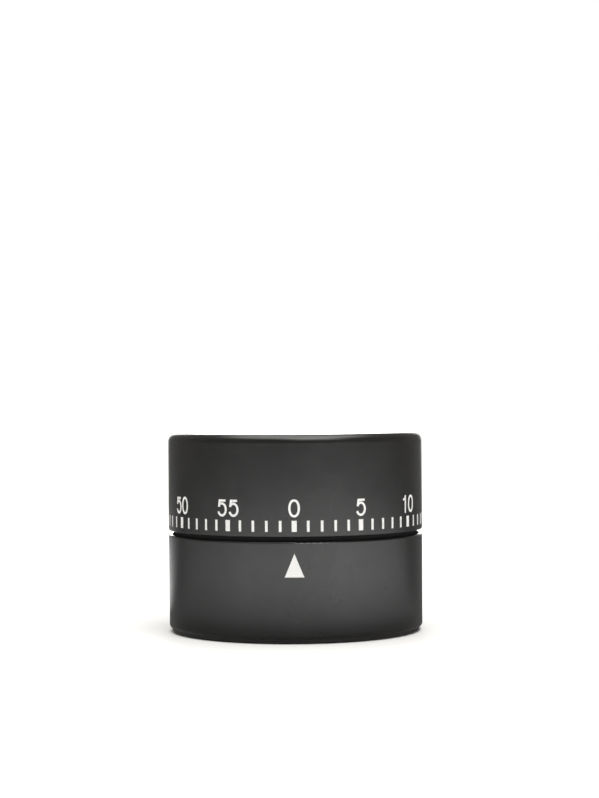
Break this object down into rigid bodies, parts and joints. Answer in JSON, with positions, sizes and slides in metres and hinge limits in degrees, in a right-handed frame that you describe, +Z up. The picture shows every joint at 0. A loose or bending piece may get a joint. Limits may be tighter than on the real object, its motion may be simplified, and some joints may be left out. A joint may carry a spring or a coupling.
{
  "type": "kitchen timer",
  "caption": "Round mechanical kitchen timer: a black drum whose upper half turns with a minute scale over a fixed half with a pointer, with clockwork, bell and hammer inside.",
  "frame": {"origin": "centre of the face that the timer stands on", "axes": "+Z up along the dial's turning axis, -Y towards the pointer on the lower shell, +X to the right of it"},
  "size_m": [0.06, 0.06, 0.047],
  "materials": {
    "black_soft_touch": "fine matt soft-touch skin",
    "black_base_plastic": "satin moulded",
    "foot_rubber": "matt moulded rubber",
    "zinc_screws": "bright zinc plate",
    "steel_screws": "polished steel",
    "plate_brass": "straight-brushed sheet",
    "pillar_steel": "turned steel",
    "zinc_nuts": "zinc plate",
    "spring_steel": "tempered strip with a light oil film",
    "blued_steel": "blued wire",
    "wheel_brass": "punched and brushed sheet",
    "arbor_steel": "turned and burnished",
    "stamped_steel": "punched sheet with rolled faces",
    "bell_post_steel": "turned, zinc plated",
    "hammer_steel": "turned, nickel plated",
    "bell_nickel": "nickel plate over a pressed dome"
  },
  "bodies": {
    "base": {"base_cover": "black_base_plastic", "foot_ring": "foot_rubber", "cover_screws": "zinc_screws", "lower_housing": "black_soft_touch", "plate_screws": "zinc_screws", "lower_plate": "plate_brass", "upper_plate": "plate_brass", "plate_pillars": "pillar_steel", "pillar_nuts": "zinc_nuts", "mainspring": "spring_steel", "escapement_bridge": "plate_brass", "bridge_posts": "pillar_steel", "bridge_screws": "steel_screws", "hairspring": "blued_steel", "hairspring_stud": "arbor_steel", "hammer_stud": "arbor_steel", "bell_post": "bell_post_steel", "bell": "bell_nickel", "bell_nut": "zinc_nuts"},
    "dial": {"dial_shell": "black_soft_touch", "main_arbor": "arbor_steel", "ratchet_wheel": "stamped_steel", "bell_cam": "stamped_steel"},
    "main_wheel": {"main_wheel": "wheel_brass", "click_rivet": "arbor_steel", "click_spring": "spring_steel"},
    "click": {"click": "stamped_steel"},
    "second_gear": {"second_arbor": "arbor_steel", "second_wheel": "wheel_brass"},
    "third_gear": {"third_arbor": "arbor_steel", "third_wheel": "wheel_brass"},
    "escape_gear": {"escape_arbor": "arbor_steel", "escape_wheel": "wheel_brass", "star_wheel": "stamped_steel"},
    "pallet": {"pallet_arbor": "arbor_steel", "pallet_lever": "stamped_steel", "pallet_pins": "arbor_steel"},
    "balance": {"balance_staff": "arbor_steel", "balance_wheel": "wheel_brass"},
    "hammer": {"hammer_lever": "stamped_steel", "hammer_head": "hammer_steel"}
  },
  "joints": [
    {"name": "dial_turn", "type": "hinge", "parent": "base", "child": "dial", "pos_m": [0, 0, 0.024], "axis": [0, 0, 1], "range_deg": [-354, 0], "deforming": ["mainspring"]},
    {"name": "main_wheel_turn", "type": "hinge", "parent": "base", "child": "main_wheel", "pos_m": [0, 0, 0.0168], "axis": [0, 0, 1], "range_deg": [-354, 0]},
    {"name": "click_lift", "type": "hinge", "parent": "main_wheel", "child": "click", "pos_m": [-0.00754, 0.00528, 0.0178], "axis": [0, 0, 1], "range_deg": [0, 8], "deforming": ["click_spring"]},
    {"name": "second_gear_turn", "type": "hinge", "parent": "base", "child": "second_gear", "pos_m": [0.014, 0, 0.0148], "axis": [0, 0, 1], "continuous": true},
    {"name": "third_gear_turn", "type": "hinge", "parent": "base", "child": "third_gear", "pos_m": [0.01132, 0.00984, 0.0191], "axis": [0, 0, 1], "continuous": true},
    {"name": "escape_gear_turn", "type": "hinge", "parent": "base", "child": "escape_gear", "pos_m": [0.00554, 0.01501, 0.0109], "axis": [0, 0, 1], "continuous": true},
    {"name": "pallet_rock", "type": "hinge", "parent": "base", "child": "pallet", "pos_m": [0.00021, 0.0162, 0.0123], "axis": [0, 0, 1], "range_deg": [-7, 7]},
    {"name": "balance_swing", "type": "hinge", "parent": "base", "child": "balance", "pos_m": [-0.00655, 0.01482, 0.0152], "axis": [0, 0, 1], "range_deg": [-23, 23], "deforming": ["hairspring"]},
    {"name": "hammer_swing", "type": "hinge", "parent": "base", "child": "hammer", "pos_m": [0.00165, 0.00957, 0.0208], "axis": [0, 0, 1], "range_deg": [-10.5, 0]}
  ],
  "couplings": [
    {"joint": "main_wheel_turn", "follows": "dial_turn", "ratio": 1},
    {"joint": "second_gear_turn", "follows": "dial_turn", "ratio": -9},
    {"joint": "third_gear_turn", "follows": "dial_turn", "ratio": 67.5},
    {"joint": "escape_gear_turn", "follows": "dial_turn", "ratio": -455.62},
    {"joint": "balance_swing", "follows": "pallet_rock", "ratio": -3.1818}
  ]
}
